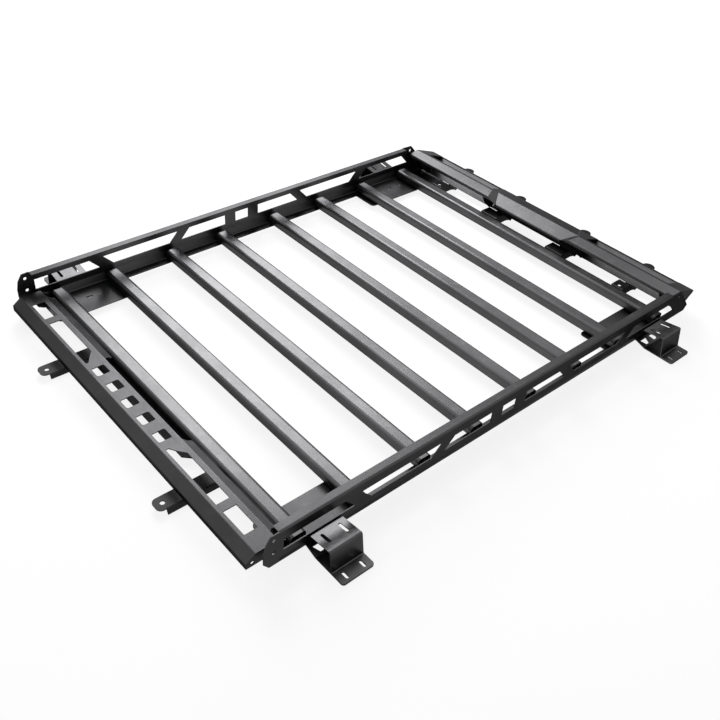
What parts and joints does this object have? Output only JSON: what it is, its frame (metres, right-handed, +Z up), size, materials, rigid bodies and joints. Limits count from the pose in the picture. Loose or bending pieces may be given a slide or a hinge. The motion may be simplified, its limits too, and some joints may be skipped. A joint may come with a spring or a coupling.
{
  "type": "roof rack",
  "caption": "Flat black roof rack: folded side panels with slanted openings, cross slats, a pierced rear rail and a front wind deflector with light pockets on bracket feet.",
  "frame": {"origin": "on the ground plane under the middle of the rack, half way between the front and rear arms' tips", "axes": "+Z up, +Y towards the vehicle's front, +X across the rack"},
  "size_m": [1.5, 1.877, 0.13],
  "materials": {
    "arm_coat": "satin black powder coat",
    "deflector_coat": "satin black powder coat",
    "foot_coat": "satin black powder coat",
    "panel_coat": "satin black powder coat",
    "rail_coat": "satin black powder coat",
    "slat_coat": "satin black powder coat"
  },
  "bodies": {
    "root": {"side_panel_left": "panel_coat", "side_panel_right": "panel_coat", "slat_1": "slat_coat", "slat_2": "slat_coat", "slat_3": "slat_coat", "slat_4": "slat_coat", "slat_5": "slat_coat", "slat_6": "slat_coat", "slat_7": "slat_coat", "slat_8": "slat_coat", "rear_rail": "rail_coat", "rail_plate": "rail_coat", "rail_end_left": "rail_coat", "rail_end_right": "rail_coat", "rear_arm_left": "arm_coat", "rear_arm_right": "arm_coat", "deflector": "deflector_coat", "deflector_end_left": "deflector_coat", "deflector_end_right": "deflector_coat", "pocket_plates_left": "deflector_coat", "pocket_plates_right": "deflector_coat", "front_arm_left": "arm_coat", "front_arm_right": "arm_coat", "middle_arm_left": "arm_coat", "middle_arm_right": "arm_coat", "foot_bracket_rear_left": "foot_coat", "foot_bracket_rear_right": "foot_coat", "foot_bracket_front_left": "foot_coat", "foot_bracket_front_right": "foot_coat", "foot_base_rear_left": "foot_coat", "foot_base_rear_right": "foot_coat", "foot_base_front_left": "foot_coat", "foot_base_front_right": "foot_coat"}
  },
  "joints": []
}
